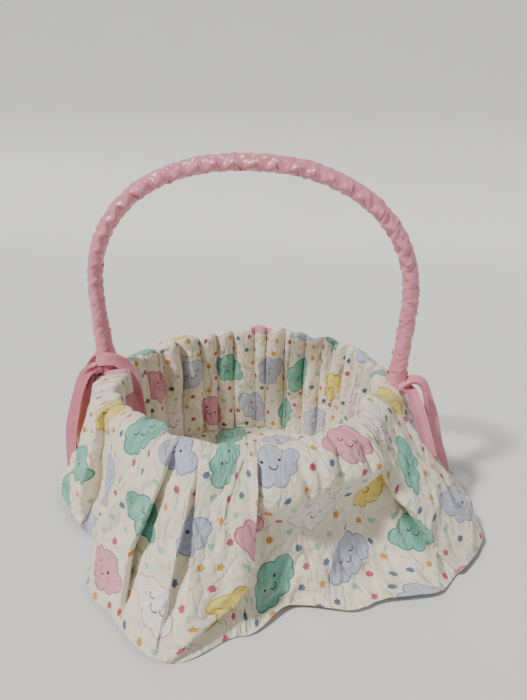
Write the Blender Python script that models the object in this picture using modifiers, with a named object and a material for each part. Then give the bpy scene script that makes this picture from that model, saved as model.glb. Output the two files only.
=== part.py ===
"""A flower girl basket: a round willow basket under a printed cotton liner, with a ribbon-wrapped arch handle.

Metres, +Z up. The origin is the centre of the base board's underside, on the surface that the basket
stands on. The handle's arch lies in the XZ plane, and -Y is the front.
"""

import math

import bmesh
import bpy
from mathutils import Vector

# The wicker basket
BASKET_HEIGHT = 0.163
RIM_WALL_RADIUS = 0.181
BASE_SET_IN = 0.005
BOARD_THICKNESS = 0.005
BOARD_MARGIN = 0.004
UPRIGHTS = 20
STAKE_RADIUS = 0.0022
STAKE_END_ABOVE_FLOOR = 0.0006
HOLE_PLAY = 0.0005
WEAVERS = 9
WEAVER_RADIUS = 0.0022
WEAVE_PLAY = 0.0007
WEAVE_PLAY_AT_BOW = 0.0014
WEAVER_ROW_GAP = 0.0012
HOOP_RADIUS = 0.0028
HOOP_PLAY = 0.0009
HOOP_BULGE_HALF_ANGLE = math.radians(24)
PEG_RADIUS = 0.0010
PEG_PLAY = 0.0003

# The arch handle
HANDLE_TOP = 0.438
HANDLE_BEYOND_RIM = 0.017
SHOULDER_HEIGHT = 0.280
ARCH_SQUARENESS = 2.2
ARCH_STEPS = 9
FOOT_ABOVE_RIM = 0.012
BEND_ABOVE_RIM = 0.001
LEG_DRAW_IN = 0.0065
BOW_RADIUS = 0.0083
BOW_RADIUS_AT_RIM = 0.0060
BOW_TAPER_LENGTH = 0.070
WRAP_THICKNESS = 0.0014
WRAP_PLAY = 0.0004

# The cotton liner
TOUCH_GAP = 0.0003
CLOTH_THICKNESS = 0.0018
LINER_CLEARANCE = 0.0008
SKIRT_OVER_HOOPS = 0.0010
SKIRT_HOLE_PLAY = 0.0012
HEM_ABOVE_FLOOR = 0.0032
CREST_ROUNDING = 0.2
SHOULDER_SPREAD = 0.001
SKIRT_BEND_OUT = 0.3
SKIRT_BEND_ABOVE_HEM = 0.020
SKIRT_COLUMNS = 72
# The loose hem's outline: the direction from the axis in degrees, and the reach beyond the rim's wall there
HEM_OUTLINE = (
    (-165, 0.060), (-141, 0.033), (-117, 0.079), (-96, 0.108), (-82, 0.071), (-69, 0.045), (-51, 0.075),
    (-33, 0.112), (-14, 0.126), (9, 0.114), (38, 0.065), (72, 0.043), (104, 0.052), (138, 0.041), (168, 0.051),
)

# The satin ribbons
RIBBON_WIDTH = 0.025
RIBBON_THICKNESS = 0.0014
BAND_HEIGHT = 0.012
BAND_ABOVE_FOOT = 0.001
BAND_PLAY = 0.0006
KNOT_RADIUS = 0.0085
KNOT_FROM_FOOT = (0.014, -0.010, 0.0035)
# Each outer ribbon end: degrees forward of the handle's plane, distance out from the skirt, height from the foot
LEFT_FRONT_END = (
    (3.9, 0.006, 0.004), (9.6, 0.016, -0.004), (12.7, 0.024, -0.042), (13.6, 0.025, -0.087), (13.7, 0.021, -0.126),
)
LEFT_BACK_END = (
    (2.8, 0.006, 0.003), (4.8, 0.016, -0.007), (4.6, 0.021, -0.047), (4.5, 0.019, -0.087), (4.4, 0.018, -0.120),
)
LEFT_FAR_END = ((-2.3, 0.000, 0.019), (-3.2, 0.014, 0.015), (-3.4, 0.032, -0.032), (-3.0, 0.052, -0.104))
LEFT_FAR_WIDTH = 0.016
RIGHT_OUTER_END = (
    (2.8, 0.006, 0.004), (4.1, 0.022, 0.012), (4.5, 0.040, -0.006),
    (4.6, 0.041, -0.044), (4.0, 0.035, -0.082), (2.6, 0.024, -0.122),
)
RIGHT_FRONT_END = ((3.3, 0.006, 0.003), (9.0, 0.018, -0.006), (11.4, 0.028, -0.032), (11.9, 0.029, -0.058))
RIGHT_FRONT_WIDTH = 0.018
# The end that hangs inside: out, back and up from the foot
LEFT_INSIDE_END = (
    (-0.006, 0.000, 0.021), (-0.022, 0.000, 0.025), (-0.037, -0.001, 0.004), (-0.041, -0.002, -0.030),
    (-0.042, -0.002, -0.090),
)
LEFT_INSIDE_WIDTH = 0.018
LEFT_INSIDE_ACROSS = (0.8, 0.6, 0.0)
RIGHT_OUTER_ACROSS = (0.2, 1.0, 0.0)
ACROSS_X = (1.0, 0.0, 0.0)
ACROSS_Y = (0.0, 1.0, 0.0)

BASE_WALL_RADIUS = RIM_WALL_RADIUS - BASE_SET_IN
HANDLE_HALF_SPAN = RIM_WALL_RADIUS + HANDLE_BEYOND_RIM
HOOP_HEIGHT = BASKET_HEIGHT - HOOP_RADIUS
BEND_HEIGHT = BASKET_HEIGHT + BEND_ABOVE_RIM
FOOT_HEIGHT = BASKET_HEIGHT + FOOT_ABOVE_RIM
WRAP_RADIUS = BOW_RADIUS + WRAP_PLAY + WRAP_THICKNESS


def clear_scene():
    for obj in list(bpy.data.objects):
        bpy.data.objects.remove(obj, do_unlink=True)


def make_collection(name, shown):
    made = bpy.data.collections.new(name)
    bpy.context.scene.collection.children.link(made)
    made.hide_render = not shown
    return made


def make_material(name, colour, roughness):
    material = bpy.data.materials.new(name)
    material.use_nodes = True
    shader = material.node_tree.nodes["Principled BSDF"]
    shader.inputs["Base Color"].default_value = (*colour, 1.0)
    shader.inputs["Roughness"].default_value = roughness
    shader.inputs["Metallic"].default_value = 0.0
    return material


def lerp(a, b, t):
    return a + (b - a) * t


def polar(angle, radius, height):
    return Vector((radius * math.cos(angle), radius * math.sin(angle), height))


def upright_angle(position):
    return 2 * math.pi * position / UPRIGHTS


def is_bow_position(position):
    return position % (UPRIGHTS // 2) == 0


def wall_radius(height):
    """The radius of the circle that the uprights stand on, at this height."""
    return lerp(BASE_WALL_RADIUS, RIM_WALL_RADIUS, height / BASKET_HEIGHT)


def bow_radius(height):
    """The bow's own radius on its legs: thin in the weave, thicker through the rim, full above it."""
    if height <= BEND_HEIGHT:
        t = (height - HOOP_HEIGHT + BOW_TAPER_LENGTH) / BOW_TAPER_LENGTH
        return lerp(STAKE_RADIUS, BOW_RADIUS_AT_RIM, min(max(t, 0), 1))
    t = (height - BEND_HEIGHT) / (FOOT_HEIGHT - BEND_HEIGHT)
    return lerp(BOW_RADIUS_AT_RIM, BOW_RADIUS, min(t, 1))


def leg_centre(height):
    """How far the bow's leg is from the basket's axis. In the weave, its inner side is flush with the stakes."""
    if height <= BEND_HEIGHT:
        return wall_radius(height) + bow_radius(height) - STAKE_RADIUS
    foot = HANDLE_HALF_SPAN - LEG_DRAW_IN
    if height <= FOOT_HEIGHT:
        t = (height - BEND_HEIGHT) / (FOOT_HEIGHT - BEND_HEIGHT)
        return lerp(leg_centre(BEND_HEIGHT), foot, t)
    t = (SHOULDER_HEIGHT - height) / (SHOULDER_HEIGHT - FOOT_HEIGHT)
    return HANDLE_HALF_SPAN - LEG_DRAW_IN * t**1.5


def arch_point(angle):
    """A point on the squarish half ellipse above the shoulders, in the XZ plane."""
    c, s = math.cos(angle), math.sin(angle)
    k = (abs(c) ** ARCH_SQUARENESS + abs(s) ** ARCH_SQUARENESS) ** (-1 / ARCH_SQUARENESS)
    rise = HANDLE_TOP - SHOULDER_HEIGHT
    return Vector((HANDLE_HALF_SPAN * c * k, 0, SHOULDER_HEIGHT + rise * s * k))


def bow_path(lowest):
    """[(point, radius)] of the bow's centreline, from the right leg's end over the arch to the left one's."""
    taper_start = HOOP_HEIGHT - BOW_TAPER_LENGTH
    legs = (STAKE_END_ABOVE_FLOOR, BOARD_THICKNESS, taper_start, HOOP_HEIGHT, BEND_HEIGHT, FOOT_HEIGHT)
    heights = [h for h in legs if h >= lowest]
    heights += [lerp(FOOT_HEIGHT, SHOULDER_HEIGHT, t) for t in (0.33, 0.67)]
    right = [(Vector((leg_centre(h), 0, h)), bow_radius(h)) for h in heights]
    quarter = [math.pi / 2 * i / ARCH_STEPS for i in range(ARCH_STEPS + 1)]
    right += [(arch_point(a), BOW_RADIUS) for a in quarter]
    left = [(Vector((-p.x, 0, p.z)), r) for p, r in reversed(right[:-1])]
    return right + left


def place(obj, name, material, collection):
    obj.name = name
    obj.data.name = name
    if material:
        obj.data.materials.clear()
        obj.data.materials.append(material)
    for old in list(obj.users_collection):
        old.objects.unlink(obj)
    collection.objects.link(obj)
    return obj


def as_cutter(obj):
    obj.hide_render = True
    obj.display_type = "WIRE"
    return obj


def rod(name, path, material, collection, sides_resolution=1, cyclic=False, caps=True):
    """A round rod through path, which is a list of (point, radius)."""
    curve = bpy.data.curves.new(name, "CURVE")
    curve.dimensions = "3D"
    curve.bevel_depth = 1.0
    curve.bevel_resolution = sides_resolution
    curve.use_fill_caps = caps and not cyclic
    spline = curve.splines.new("POLY")
    spline.points.add(len(path) - 1)
    spline.use_cyclic_u = cyclic
    for point, (place_at, radius) in zip(spline.points, path):
        point.co = (*place_at, 1)
        point.radius = radius
    obj = bpy.data.objects.new(name, curve)
    return place(obj, name, material, collection)


def to_mesh(obj):
    """The curve object as a mesh object with its caps welded on."""
    bpy.context.view_layer.update()
    evaluated = obj.evaluated_get(bpy.context.evaluated_depsgraph_get())
    mesh = bpy.data.meshes.new_from_object(evaluated)
    working = bmesh.new()
    working.from_mesh(mesh)
    bmesh.ops.remove_doubles(working, verts=working.verts, dist=0.00001)
    bmesh.ops.recalc_face_normals(working, faces=working.faces)
    working.to_mesh(mesh)
    working.free()
    made = bpy.data.objects.new("made", mesh)
    made.matrix_world = obj.matrix_world
    name, material, collection = obj.name, obj.active_material, obj.users_collection[0]
    bpy.data.objects.remove(obj, do_unlink=True)
    mesh.shade_smooth()
    return place(made, name, material, collection)


def cylinder(name, radius, low, high, sides, material, collection):
    """An upright cylinder between the points low and high."""
    axis = Vector(high) - Vector(low)
    bpy.ops.mesh.primitive_cylinder_add(vertices=sides, radius=radius, depth=axis.length)
    obj = bpy.context.object
    obj.location = (Vector(low) + Vector(high)) / 2
    obj.rotation_euler = axis.to_track_quat("Z", "Y").to_euler()
    return place(obj, name, material, collection)


def boolean(obj, other, operation="DIFFERENCE"):
    modifier = obj.modifiers.new(operation.lower(), "BOOLEAN")
    modifier.operation = operation
    modifier.object = other


def solidify(obj, thickness, offset):
    modifier = obj.modifiers.new("thickness", "SOLIDIFY")
    modifier.thickness = thickness
    modifier.offset = offset


def grid_mesh(name, rows, closed, material, collection):
    """A sheet through rows of points, each row as long as the others. A closed sheet runs round to its start."""
    working = bmesh.new()
    grid = [[working.verts.new(p) for p in row] for row in rows]
    count = len(rows[0])
    for upper, lower in zip(grid, grid[1:]):
        for i in range(count if closed else count - 1):
            j = (i + 1) % count
            working.faces.new((upper[i], lower[i], lower[j], upper[j]))
    mesh = bpy.data.meshes.new(name)
    working.to_mesh(mesh)
    working.free()
    mesh.shade_smooth()
    return place(bpy.data.objects.new(name, mesh), name, material, collection)


def make_base_board(parts, cutters, willow):
    """The round board that the stakes and the bow's ends stand in."""
    radius = wall_radius(0) + STAKE_RADIUS + BOARD_MARGIN
    top = (0, 0, BOARD_THICKNESS)
    board = cylinder("base_board", radius, (0, 0, 0), top, 64, willow, parts)
    holes = bmesh.new()
    for position in range(UPRIGHTS):
        centre = polar(upright_angle(position), wall_radius(BOARD_THICKNESS / 2), BOARD_THICKNESS / 2)
        made = bmesh.ops.create_cone(
            holes, cap_ends=True, segments=8, depth=3 * BOARD_THICKNESS,
            radius1=STAKE_RADIUS + HOLE_PLAY, radius2=STAKE_RADIUS + HOLE_PLAY,
        )
        bmesh.ops.translate(holes, vec=centre, verts=made["verts"])
    mesh = bpy.data.meshes.new("board_holes")
    holes.to_mesh(mesh)
    holes.free()
    cutter = place(bpy.data.objects.new("board_holes", mesh), "board_holes", None, cutters)
    boolean(board, as_cutter(cutter))


def make_stakes(parts, willow):
    top = HOOP_HEIGHT + HOOP_RADIUS
    number = 0
    for position in range(UPRIGHTS):
        if is_bow_position(position):
            continue
        number += 1
        ends = [
            (polar(upright_angle(position), wall_radius(h), h), STAKE_RADIUS)
            for h in (STAKE_END_ABOVE_FLOOR, top)
        ]
        rod(f"stake_{number:02d}", ends, willow, parts, sides_resolution=2)


def weaver_point(row, half_step, height):
    """Each row runs in front of one upright and behind the next, and the rows take turns."""
    position = half_step // 2
    angle = math.pi * half_step / UPRIGHTS
    wall = wall_radius(height)
    if half_step % 2:
        return polar(angle, wall, height)
    outside = (position + row) % 2 == 0
    if not outside:
        return polar(angle, wall - STAKE_RADIUS - WEAVE_PLAY - WEAVER_RADIUS, height)
    if is_bow_position(position):
        reach = leg_centre(height) + bow_radius(height) + WEAVE_PLAY_AT_BOW
        return polar(angle, reach + WEAVER_RADIUS, height)
    return polar(angle, wall + STAKE_RADIUS + WEAVE_PLAY + WEAVER_RADIUS, height)


def make_weavers(parts, willow):
    lowest = BOARD_THICKNESS + WEAVER_ROW_GAP + WEAVER_RADIUS
    highest = HOOP_HEIGHT - HOOP_RADIUS - WEAVER_ROW_GAP - WEAVER_RADIUS
    for row in range(WEAVERS):
        height = lerp(lowest, highest, row / (WEAVERS - 1))
        path = [(weaver_point(row, i, height), WEAVER_RADIUS) for i in range(2 * UPRIGHTS)]
        rod(f"weaver_{row + 1:02d}", path, willow, parts, cyclic=True)


def hoop_radius_at(angle, outside):
    """The outer hoop swells round the bow's legs; the inner one is a plain circle."""
    wall = wall_radius(HOOP_HEIGHT)
    reach = STAKE_RADIUS + HOOP_PLAY + HOOP_RADIUS
    if not outside:
        return wall - reach
    off_leg = abs(math.remainder(angle, math.pi)) / HOOP_BULGE_HALF_ANGLE
    swell = 0.5 + 0.5 * math.cos(math.pi * min(off_leg, 1))
    return wall + reach + 2 * (BOW_RADIUS_AT_RIM - STAKE_RADIUS) * swell


def make_rim_hoops(parts, willow):
    hoops = []
    steps = 60
    for name, outside in (("rim_hoop_inner", False), ("rim_hoop_outer", True)):
        angles = [2 * math.pi * i / steps for i in range(steps)]
        path = [(polar(a, hoop_radius_at(a, outside), HOOP_HEIGHT), HOOP_RADIUS) for a in angles]
        hoops.append(to_mesh(rod(name, path, willow, parts, cyclic=True)))
    return hoops


def make_handle(parts, cutters, willow, satin):
    bow = to_mesh(rod("handle_bow", bow_path(0), willow, parts, sides_resolution=2))
    inner = [(p, r + WRAP_PLAY) for p, r in bow_path(FOOT_HEIGHT)]
    wrap = to_mesh(rod("handle_wrap", inner, satin, parts, sides_resolution=2, caps=False))
    solidify(wrap, WRAP_THICKNESS, 1.0)
    return bow


def make_pegs(parts, cutters, willow, drilled):
    """A peg on each side runs through the inner hoop, the bow and the outer hoop."""
    inner_end = hoop_radius_at(0, False) - HOOP_RADIUS
    outer_end = hoop_radius_at(0, True) + HOOP_RADIUS
    for name, side in (("right", 1), ("left", -1)):
        ends = [(side * x, 0, HOOP_HEIGHT) for x in (inner_end, outer_end)]
        cylinder(f"handle_peg_{name}", PEG_RADIUS, *ends, 8, willow, parts)
        long_ends = [(side * x, 0, HOOP_HEIGHT) for x in (inner_end - 0.01, outer_end + 0.01)]
        hole = cylinder(f"peg_hole_{name}", PEG_RADIUS + PEG_PLAY, *long_ends, 12, None, cutters)
        for piece in drilled:
            boolean(piece, as_cutter(hole))


def liner_outside(height):
    """The liner wall's outer radius: clear of the inner hoop, which stands furthest in."""
    reach = STAKE_RADIUS + HOOP_PLAY + 2 * HOOP_RADIUS
    return wall_radius(height) - reach - LINER_CLEARANCE


def make_liner(parts, cotton):
    floor_low = BOARD_THICKNESS + TOUCH_GAP
    floor_high = floor_low + CLOTH_THICKNESS
    radius = liner_outside(floor_high)
    cylinder("liner_floor", radius, (0, 0, floor_low), (0, 0, floor_high), 64, cotton, parts)
    low, high = floor_high + TOUCH_GAP, HOOP_HEIGHT - HOOP_RADIUS
    corners = [
        (liner_outside(high), high), (liner_outside(low), low),
        (liner_outside(low) - CLOTH_THICKNESS, low), (liner_outside(high) - CLOTH_THICKNESS, high),
    ]
    mesh = bpy.data.meshes.new("liner_wall")
    edges = [(i, (i + 1) % len(corners)) for i in range(len(corners))]
    mesh.from_pydata([(r, 0, z) for r, z in corners], edges, [])
    wall = place(bpy.data.objects.new("liner_wall", mesh), "liner_wall", cotton, parts)
    turned = wall.modifiers.new("turned", "SCREW")
    turned.steps = turned.render_steps = 64
    turned.use_merge_vertices = True
    turned.merge_threshold = 0.0001


def hem_radius(angle):
    """The hem's outline at any angle, eased from each of its points to the next."""
    count = len(HEM_OUTLINE)
    for i, (direction, reach) in enumerate(HEM_OUTLINE):
        next_direction, next_reach = HEM_OUTLINE[(i + 1) % count]
        span = (next_direction - direction) % 360
        off = (math.degrees(angle) - direction) % 360
        if off <= span:
            return RIM_WALL_RADIUS + lerp(reach, next_reach, 0.5 - 0.5 * math.cos(math.pi * off / span))
    return RIM_WALL_RADIUS + HEM_OUTLINE[0][1]


def skirt_column(angle):
    """The skirt from its seam inside the rim, over the hoops and down to the hem, at one angle."""
    inside = liner_outside(HOOP_HEIGHT) - CLOTH_THICKNESS
    outside = hoop_radius_at(angle, True) + HOOP_RADIUS + SKIRT_OVER_HOOPS + CLOTH_THICKNESS
    seam = HOOP_HEIGHT - HOOP_RADIUS + TOUCH_GAP
    crest = BASKET_HEIGHT + SKIRT_OVER_HOOPS + CLOTH_THICKNESS
    column = [
        (inside, seam), (inside, BASKET_HEIGHT), (lerp(inside, outside, CREST_ROUNDING), crest),
        (lerp(inside, outside, 1 - CREST_ROUNDING), crest), (outside, BASKET_HEIGHT), (outside + SHOULDER_SPREAD, seam),
    ]
    hem = hem_radius(angle)
    bend = (lerp(outside, hem, SKIRT_BEND_OUT), HEM_ABOVE_FLOOR + SKIRT_BEND_ABOVE_HEM)
    start, end = column[-1], (hem, HEM_ABOVE_FLOOR)
    for t in (0.25, 0.5, 0.75, 1.0):
        column.append(tuple(
            (1 - t) ** 2 * start[k] + 2 * t * (1 - t) * bend[k] + t * t * end[k] for k in (0, 1)
        ))
    return [polar(angle, r, z) for r, z in column]


def make_skirt(parts, cutters, cotton):
    angles = [2 * math.pi * i / SKIRT_COLUMNS for i in range(SKIRT_COLUMNS)]
    columns = [skirt_column(a) for a in angles]
    rows = [list(row) for row in zip(*columns)]
    skirt = grid_mesh("liner_skirt", rows, True, cotton, parts)
    solidify(skirt, CLOTH_THICKNESS, -1.0)
    legs = [(p, r + SKIRT_HOLE_PLAY) for p, r in bow_path(HOOP_HEIGHT)]
    room = to_mesh(rod("skirt_hole", legs, None, cutters, sides_resolution=3))
    boolean(skirt, as_cutter(room))


def ribbon_strip(name, path, side, width, cutters):
    """A strip of ribbon along path, with its width along side."""
    half = Vector(side).normalized() * width / 2
    rows = [[Vector(p) - half, Vector(p) + half] for p in path]
    strip = grid_mesh(name, rows, False, None, cutters)
    solidify(strip, RIBBON_THICKNESS, 0.0)
    return as_cutter(strip)


def ribbon_band(name, side, low, satin, parts):
    """The turn of ribbon round a foot of the handle, still without the handle's room in it."""
    ends = [Vector((side * leg_centre(h), 0, h)) for h in (low, low + BAND_HEIGHT)]
    radius = WRAP_RADIUS + BAND_PLAY + RIBBON_THICKNESS
    return cylinder(name, radius, *ends, 16, satin, parts)


def ribbon_tie(name, side, low, knot, strips, cutters, parts, satin, room):
    """One ribbon: its turn round the handle's foot, its knot and what hangs from it, as one body."""
    tie = ribbon_band(name, side, low, satin, parts)
    if knot:
        bpy.ops.mesh.primitive_uv_sphere_add(segments=12, ring_count=8, radius=KNOT_RADIUS, location=knot)
        ball = place(bpy.context.object, name + "_knot", None, cutters)
        boolean(tie, as_cutter(ball), "UNION")
    for number, (path, across, width) in enumerate(strips):
        boolean(tie, ribbon_strip(f"{name}_end_{number}", path, across, width, cutters), "UNION")
    boolean(tie, room)


def from_foot(side, offsets):
    """Points given as outwards, back and up from the handle's foot on this side."""
    foot = leg_centre(FOOT_HEIGHT)
    return [Vector((side * (foot + out), back, FOOT_HEIGHT + up)) for out, back, up in offsets]


def skirt_reach(angle, height):
    """How far out the skirt's surface is at this angle and height."""
    column = [(math.hypot(p.x, p.y), p.z) for p in skirt_column(angle)][4:]
    for (upper_r, upper_z), (lower_r, lower_z) in zip(column, column[1:]):
        if height > lower_z:
            return lerp(lower_r, upper_r, min((height - lower_z) / (upper_z - lower_z), 1))
    return column[-1][0]


def over_skirt(side, stations):
    """Points given as degrees forward of the handle's plane, distance out from the skirt, and up from the foot."""
    points = []
    for swing, out, up in stations:
        angle = math.radians(-swing if side > 0 else 180 + swing)
        height = FOOT_HEIGHT + up
        points.append(polar(angle, skirt_reach(angle, height) + out, height))
    return points


def make_ribbons(parts, cutters, satin):
    grown = [(p, r + WRAP_THICKNESS + WRAP_PLAY + BAND_PLAY) for p, r in bow_path(FOOT_HEIGHT)]
    room = as_cutter(to_mesh(rod("ribbon_room", grown, None, cutters, sides_resolution=3)))
    first_turn = FOOT_HEIGHT + BAND_ABOVE_FOOT
    second_turn = first_turn + BAND_HEIGHT + TOUCH_GAP
    left_outer = [
        (over_skirt(-1, LEFT_FRONT_END), ACROSS_X, RIBBON_WIDTH),
        (over_skirt(-1, LEFT_BACK_END), ACROSS_X, RIBBON_WIDTH),
    ]
    left_inner = [
        (from_foot(-1, LEFT_INSIDE_END), LEFT_INSIDE_ACROSS, LEFT_INSIDE_WIDTH),
        (over_skirt(-1, LEFT_FAR_END), ACROSS_Y, LEFT_FAR_WIDTH),
    ]
    right_outer = [
        (over_skirt(1, RIGHT_OUTER_END), RIGHT_OUTER_ACROSS, RIBBON_WIDTH),
        (over_skirt(1, RIGHT_FRONT_END), ACROSS_X, RIGHT_FRONT_WIDTH),
    ]
    left_knot, = from_foot(-1, [KNOT_FROM_FOOT])
    right_knot, = from_foot(1, [KNOT_FROM_FOOT])
    ribbon_tie("left_tie_ribbon", -1, first_turn, left_knot, left_outer, cutters, parts, satin, room)
    ribbon_tie("left_inner_ribbon", -1, second_turn, None, left_inner, cutters, parts, satin, room)
    ribbon_tie("right_tie_ribbon", 1, first_turn, right_knot, right_outer, cutters, parts, satin, room)


def main():
    clear_scene()
    parts = make_collection("flower_girl_basket", True)
    cutters = make_collection("cutters", False)
    willow = make_material("willow", (0.36, 0.20, 0.10), 0.60)
    cotton = make_material("printed_cotton", (0.86, 0.83, 0.78), 0.85)
    satin = make_material("pink_satin", (0.88, 0.42, 0.52), 0.32)
    make_base_board(parts, cutters, willow)
    make_stakes(parts, willow)
    make_weavers(parts, willow)
    hoops = make_rim_hoops(parts, willow)
    bow = make_handle(parts, cutters, willow, satin)
    make_pegs(parts, cutters, willow, [*hoops, bow])
    make_liner(parts, cotton)
    make_skirt(parts, cutters, cotton)
    make_ribbons(parts, cutters, satin)


main()
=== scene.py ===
# %% [markdown]
# # A flower girl basket, made in Blender
# The real thing is a round willow basket with a tall arch handle. A printed cotton liner is gathered
# inside it and falls over the rim as a skirt, pink satin ribbon is wound round the handle, and more
# ribbon is tied at its two feet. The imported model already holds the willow, the bow and the room that
# the cloth takes up. This lesson loads it first, so that every new piece is made in the same metres.

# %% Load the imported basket
import math

import bpy
import numpy as np
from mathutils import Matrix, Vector


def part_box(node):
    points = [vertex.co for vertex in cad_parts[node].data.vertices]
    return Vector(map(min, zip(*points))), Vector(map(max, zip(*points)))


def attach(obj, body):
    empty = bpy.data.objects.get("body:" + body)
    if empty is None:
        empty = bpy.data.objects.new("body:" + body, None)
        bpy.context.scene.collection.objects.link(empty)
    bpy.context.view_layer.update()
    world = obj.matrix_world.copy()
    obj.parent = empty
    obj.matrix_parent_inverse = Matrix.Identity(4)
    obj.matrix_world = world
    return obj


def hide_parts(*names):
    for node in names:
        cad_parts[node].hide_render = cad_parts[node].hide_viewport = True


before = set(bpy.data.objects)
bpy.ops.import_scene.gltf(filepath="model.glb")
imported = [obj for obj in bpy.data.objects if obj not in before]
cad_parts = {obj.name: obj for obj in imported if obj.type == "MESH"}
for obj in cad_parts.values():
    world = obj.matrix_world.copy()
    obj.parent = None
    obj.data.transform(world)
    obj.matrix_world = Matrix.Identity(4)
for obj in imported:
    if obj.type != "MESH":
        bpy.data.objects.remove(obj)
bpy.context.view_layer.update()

# %% [markdown]
# ## The camera, the floor and the light
# The basket is looked at from the front and a little above, close by, so near folds look large. A wide
# lens close to the basket gives that. The floor is plain and pale, with a plain backdrop that curves up
# far behind it. The light is like a bright room's: a ceiling lamp high on the front left, a weaker and
# softer one on the right, and a pale world.

# %% Camera
camera_data = bpy.data.cameras.new("camera")
camera_data.lens = 26.97
camera_data.sensor_width = 36.0
camera = bpy.data.objects.new("camera", camera_data)
bpy.context.scene.collection.objects.link(camera)
camera.location = (0.0970, -0.6292, 0.4496)
camera.rotation_euler = [math.radians(turn) for turn in (69.263, -0.930, 7.212)]
bpy.context.scene.camera = camera
print("camera at", tuple(camera.location))


# %% Floor and backdrop
def clean_start():
    """Nothing selected, so that the next operator acts on the new piece only."""
    if bpy.context.object and bpy.context.object.mode != "OBJECT":
        bpy.ops.object.mode_set(mode="OBJECT")
    bpy.ops.object.select_all(action="DESELECT")


STAGE_RADIUS = 6.0
clean_start()
bpy.ops.mesh.primitive_circle_add(
    vertices=96, radius=STAGE_RADIUS, fill_type="NGON", location=(0, 0, 0),
)
floor = bpy.context.object
floor.name = "floor"

BACKDROP_NEAR, BACKDROP_BEND, BACKDROP_TOP = 1.9, 0.7, 3.4
BACKDROP_HALF_WIDTH, BACKDROP_BELOW_FLOOR = 5.0, 0.002
profile = [(BACKDROP_NEAR + BACKDROP_BEND * math.sin(a),
            BACKDROP_BEND * (1 - math.cos(a)) - BACKDROP_BELOW_FLOOR)
           for a in np.linspace(0, math.pi / 2, 25)]
profile.append((BACKDROP_NEAR + BACKDROP_BEND, BACKDROP_TOP))
backdrop_mesh = bpy.data.meshes.new("backdrop")
backdrop_mesh.from_pydata(
    [(x, y, z) for y, z in profile for x in (-BACKDROP_HALF_WIDTH, BACKDROP_HALF_WIDTH)], [],
    [(2 * i, 2 * i + 1, 2 * i + 3, 2 * i + 2) for i in range(len(profile) - 1)],
)
backdrop_mesh.shade_smooth()
backdrop = bpy.data.objects.new("backdrop", backdrop_mesh)
bpy.context.scene.collection.objects.link(backdrop)
print("floor laid, with a plain backdrop far behind")


# %% Light
def soft_sun(name, towards, strength, spread, tint):
    """Light from far off, so the floor is lit evenly. spread, in degrees, says how soft its
    shadows are."""
    lamp = bpy.data.lights.new(name, "SUN")
    lamp.energy = strength
    lamp.angle = math.radians(spread)
    lamp.color = tint
    holder = bpy.data.objects.new(name, lamp)
    holder.rotation_euler = Vector(towards).to_track_quat("-Z", "Y").to_euler()
    bpy.context.scene.collection.objects.link(holder)
    return holder


soft_sun("ceiling_lamp", (0.62, 0.52, -0.95), 3.7, 7.0, (1.0, 0.985, 0.955))
soft_sun("room_lamp", (-0.8, 0.35, -0.9), 0.45, 40.0, (0.96, 0.98, 1.0))
world = bpy.data.worlds.new("pale_room")
world.use_nodes = True
world.node_tree.nodes["Background"].inputs["Color"].default_value = (0.80, 0.81, 0.82, 1.0)
world.node_tree.nodes["Background"].inputs["Strength"].default_value = 0.24
bpy.context.scene.world = world

# %% [markdown]
# ## Small helpers for materials
# A cloth print is drawn with numbers: how far is this point of the cloth from the middle of a cloud?
# Every step is one Math node. A short helper joins such nodes, so that a formula reads as one line.


# %% Node helpers
def new_finish(name):
    material = bpy.data.materials.new(name)
    material.use_nodes = True
    return material, material.node_tree, material.node_tree.nodes["Principled BSDF"]


def add_node(tree, kind, inputs=(), **settings):
    """A node with some settings, and values or sockets for its first inputs, or for inputs by name."""
    made = tree.nodes.new(kind)
    for key, value in settings.items():
        setattr(made, key, value)
    pairs = inputs.items() if isinstance(inputs, dict) else enumerate(inputs)
    for key, value in pairs:
        if isinstance(value, bpy.types.NodeSocket):
            tree.links.new(value, made.inputs[key])
        elif value is not None:
            made.inputs[key].default_value = value
    return made


def maths(tree, operation, *values):
    return add_node(tree, "ShaderNodeMath", values, operation=operation).outputs[0]


def times(tree, a, b):
    return maths(tree, "MULTIPLY", a, b)


def plus(tree, a, b):
    return maths(tree, "ADD", a, b)


def minus(tree, a, b):
    return maths(tree, "SUBTRACT", a, b)


def point_maths(tree, operation, *values):
    made = add_node(tree, "ShaderNodeVectorMath", values, operation=operation)
    return made.outputs["Value" if operation in ("DISTANCE", "LENGTH") else "Vector"]


def point(tree, x, y, z=0.0):
    return add_node(tree, "ShaderNodeCombineXYZ", (x, y, z)).outputs[0]


def parts_of(tree, vector):
    return add_node(tree, "ShaderNodeSeparateXYZ", (vector,)).outputs


def paint(tree, under, over, share):
    """Lays the colour over on the colour under, as far as share says."""
    made = add_node(tree, "ShaderNodeMix", data_type="RGBA")
    for socket, value in zip((made.inputs[0], made.inputs[6], made.inputs[7]), (share, under, over)):
        if isinstance(value, bpy.types.NodeSocket):
            tree.links.new(value, socket)
        else:
            socket.default_value = value
    return made.outputs[2]


def steps_of_colour(tree, position, colours):
    """Equal steps of colour as position goes from 0 to 1."""
    ramp = add_node(tree, "ShaderNodeValToRGB", (position,))
    ramp.color_ramp.interpolation = "CONSTANT"
    stops = ramp.color_ramp.elements
    while len(stops) < len(colours):
        stops.new(0.5)
    for i, colour in enumerate(colours):
        stops[i].position = i / len(colours)
        stops[i].color = colour
    return ramp.outputs[0]


def colour_of(code):
    """A screen colour written as six hex digits, as the linear colour that a shader wants."""
    channels = [int(code[i:i + 2], 16) / 255 for i in (0, 2, 4)]
    return tuple(c / 12.92 if c < 0.04045 else ((c + 0.055) / 1.055) ** 2.4 for c in channels) + (1.0,)


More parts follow.
